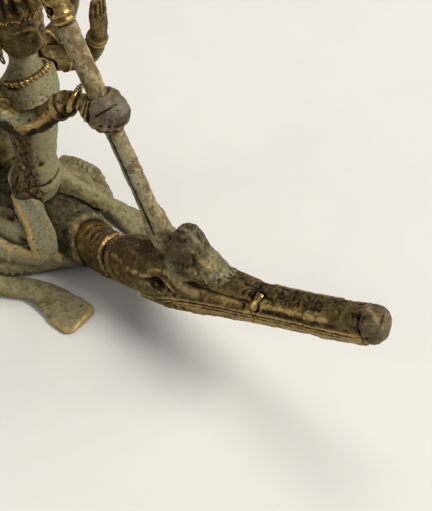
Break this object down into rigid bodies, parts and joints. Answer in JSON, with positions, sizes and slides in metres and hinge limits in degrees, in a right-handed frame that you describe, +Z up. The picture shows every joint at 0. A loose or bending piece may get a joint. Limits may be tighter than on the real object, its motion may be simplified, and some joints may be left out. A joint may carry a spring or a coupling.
{
  "type": "statue",
  "caption": "Patinated brass figure of a four-armed seated rider with a spear on a long-snouted crocodile mount, cast in pinned sections.",
  "frame": {"origin": "centre of the statue's box at the level of the foot soles", "axes": "+X towards the mount's snout, +Z up, the rider's right hand side at -Y"},
  "size_m": [0.1814, 0.0424, 0.0722],
  "materials": {
    "olive_brass": "olive-brown patina, satin, dark in the hollows",
    "verdigris_brass": "pale grey-green verdigris, matte",
    "brown_brass": "dark brown patina, satin",
    "worn_brass": "brass worn bright on the ridges"
  },
  "bodies": {
    "statue": {"back_ridge": "brown_brass", "belly_plate": "brown_brass", "belly_rivet_1": "worn_brass", "belly_rivet_2": "worn_brass", "belly_rivet_3": "worn_brass", "belly_rivet_4": "worn_brass", "crest": "verdigris_brass", "curl_dowel": "olive_brass", "eye_left": "worn_brass", "eye_right": "worn_brass", "flame": "worn_brass", "foreleg_left": "verdigris_brass", "foreleg_right": "olive_brass", "front_left_arm": "olive_brass", "front_leg_pin": "worn_brass", "front_right_arm": "olive_brass", "girdle": "worn_brass", "hair_crown": "brown_brass", "hair_locks_left": "brown_brass", "hair_locks_right": "brown_brass", "hand_drum": "brown_brass", "hind_leg_pin": "worn_brass", "hindleg_left": "verdigris_brass", "hindleg_right": "olive_brass", "hip_pin": "worn_brass", "jaw_rivet_front": "worn_brass", "jaw_rivet_rear": "worn_brass", "lower_jaw": "olive_brass", "mount_body": "olive_brass", "mount_skull": "brown_brass", "neck_dowel": "olive_brass", "neck_ring": "worn_brass", "necklace": "worn_brass", "nose_cap": "verdigris_brass", "rear_left_arm": "olive_brass", "rear_right_arm": "olive_brass", "rear_shoulder_pin": "worn_brass", "rider_head": "olive_brass", "rider_leg_left": "olive_brass", "rider_leg_right": "olive_brass", "rider_torso": "olive_brass", "saddle_back": "olive_brass", "saddle_cloth": "verdigris_brass", "shoulder_pin": "worn_brass", "snout": "olive_brass", "snout_key": "worn_brass", "spear_fist": "brown_brass", "tail_curl": "olive_brass", "tail_dowel": "olive_brass", "tail_ridge": "brown_brass", "tail_root": "olive_brass", "tie_screw": "worn_brass", "wrist_bangle": "worn_brass"},
    "spear": {"spear_shaft": "verdigris_brass", "trident": "worn_brass", "trident_pin": "worn_brass"}
  },
  "joints": [
    {"name": "spear_slide", "type": "slide", "parent": "statue", "child": "spear", "axis": [-0.4035, 0, 0.915], "range_m": [0, 0.013]}
  ]
}
